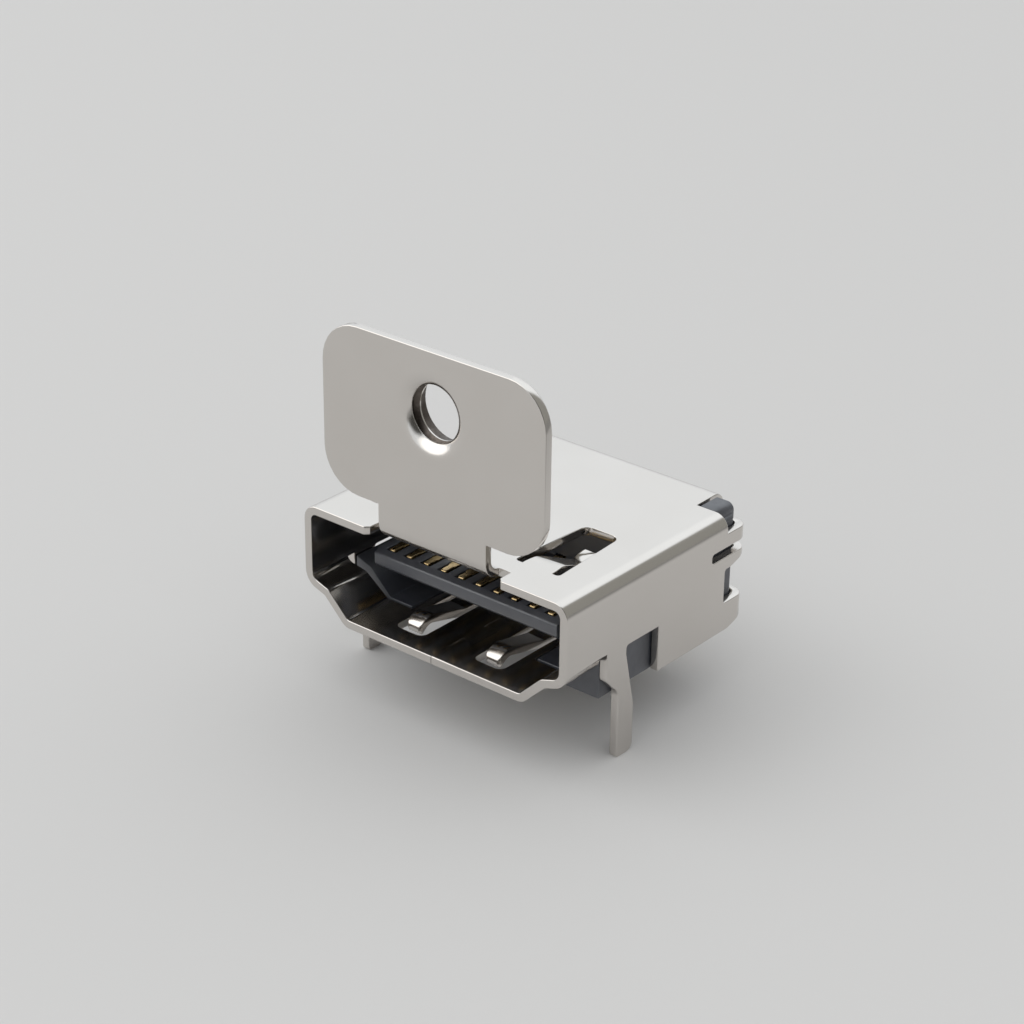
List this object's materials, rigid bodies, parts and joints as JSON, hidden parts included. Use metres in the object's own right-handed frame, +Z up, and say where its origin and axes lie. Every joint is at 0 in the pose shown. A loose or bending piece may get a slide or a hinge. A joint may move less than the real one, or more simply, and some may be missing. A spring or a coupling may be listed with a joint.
{
  "type": "digital video socket",
  "caption": "Board-mount digital video socket: folded plated shell with an upright screw flange and board legs, around an insulator whose tongue carries gold contacts.",
  "frame": {"origin": "on the board's surface, under the middle of the mouth's front edge", "axes": "-Y out of the mouth, where the plug leaves; +Z up from the board, towards the screw flange; +X along the mouth's width"},
  "size_m": [0.0148, 0.0132, 0.0179],
  "materials": {
    "nickel": "satin nickel plating",
    "insulator": "moulded, dark blue-grey",
    "gold": "gold plating"
  },
  "bodies": {
    "root": {"shell": "nickel", "housing": "insulator", "tail_spacer": "insulator", "contact_01": "gold", "contact_02": "gold", "contact_03": "gold", "contact_04": "gold", "contact_05": "gold", "contact_06": "gold", "contact_07": "gold", "contact_08": "gold", "contact_09": "gold", "contact_10": "gold", "contact_11": "gold", "contact_12": "gold", "contact_13": "gold", "contact_14": "gold", "contact_15": "gold", "contact_16": "gold", "contact_17": "gold", "contact_18": "gold", "contact_19": "gold"}
  },
  "joints": []
}
